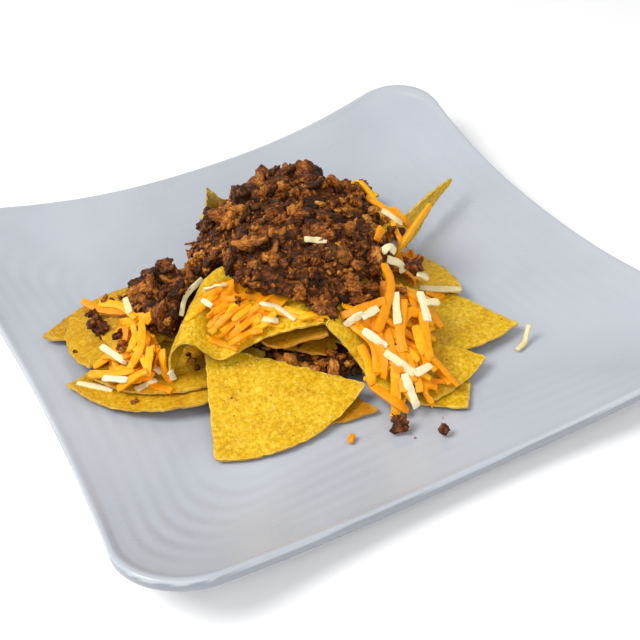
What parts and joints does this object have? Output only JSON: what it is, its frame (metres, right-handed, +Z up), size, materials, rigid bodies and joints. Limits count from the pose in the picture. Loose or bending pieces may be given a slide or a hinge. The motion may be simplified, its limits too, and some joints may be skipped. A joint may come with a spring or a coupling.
{
  "type": "nachos on a plate",
  "caption": "Fried corn tortilla chips piled on a square dinner plate under shredded cheese and crumbled seasoned beef.",
  "frame": {"origin": "centre of the plate's foot, on the table", "axes": "+Z up; the plate's sides lie along X and Y; the picture looks from -X -Y and above"},
  "size_m": [0.2996, 0.2996, 0.0689],
  "materials": {
    "plate": "pale blue-grey moulded melamine, soft gloss, fine raised ribs inside the rim",
    "chip": "fried yellow corn tortilla, dry, mottled, with dark specks and a pale edge",
    "cheese": "shredded orange cheddar and cream-white jack cheese, slightly oily",
    "beef": "crumbled seasoned beef, dark brown with lighter orange-brown fibres, slightly greasy"
  },
  "bodies": {
    "root": {"plate": "plate", "chip_left_low": "chip", "chip_front_low": "chip", "chip_right_low": "chip", "chip_back_low": "chip", "chip_back_right": "chip", "beef_inner": "beef", "chip_left_mid": "chip", "chip_left_far": "chip", "chip_left_over": "chip", "chip_left_top": "chip", "chip_right_far": "chip", "chip_right_back": "chip", "chip_right_over": "chip", "chip_front": "chip", "chip_inner_low": "chip", "chip_inner_high": "chip", "chip_folded": "chip", "chip_slope": "chip", "chip_standing": "chip", "chip_back_tip": "chip", "chip_back_over": "chip", "cheese_right": "cheese", "cheese_back": "cheese", "cheese_centre": "cheese", "cheese_left": "cheese", "beef_left": "beef", "beef_heap": "beef", "beef_loose_right": "beef", "beef_loose_back": "beef", "beef_loose_end": "beef", "beef_loose_plate": "beef", "beef_loose_left_a": "beef", "beef_loose_left_b": "beef", "beef_loose_left_c": "beef", "cheese_loose_right": "cheese", "cheese_loose_front": "cheese"}
  },
  "joints": []
}
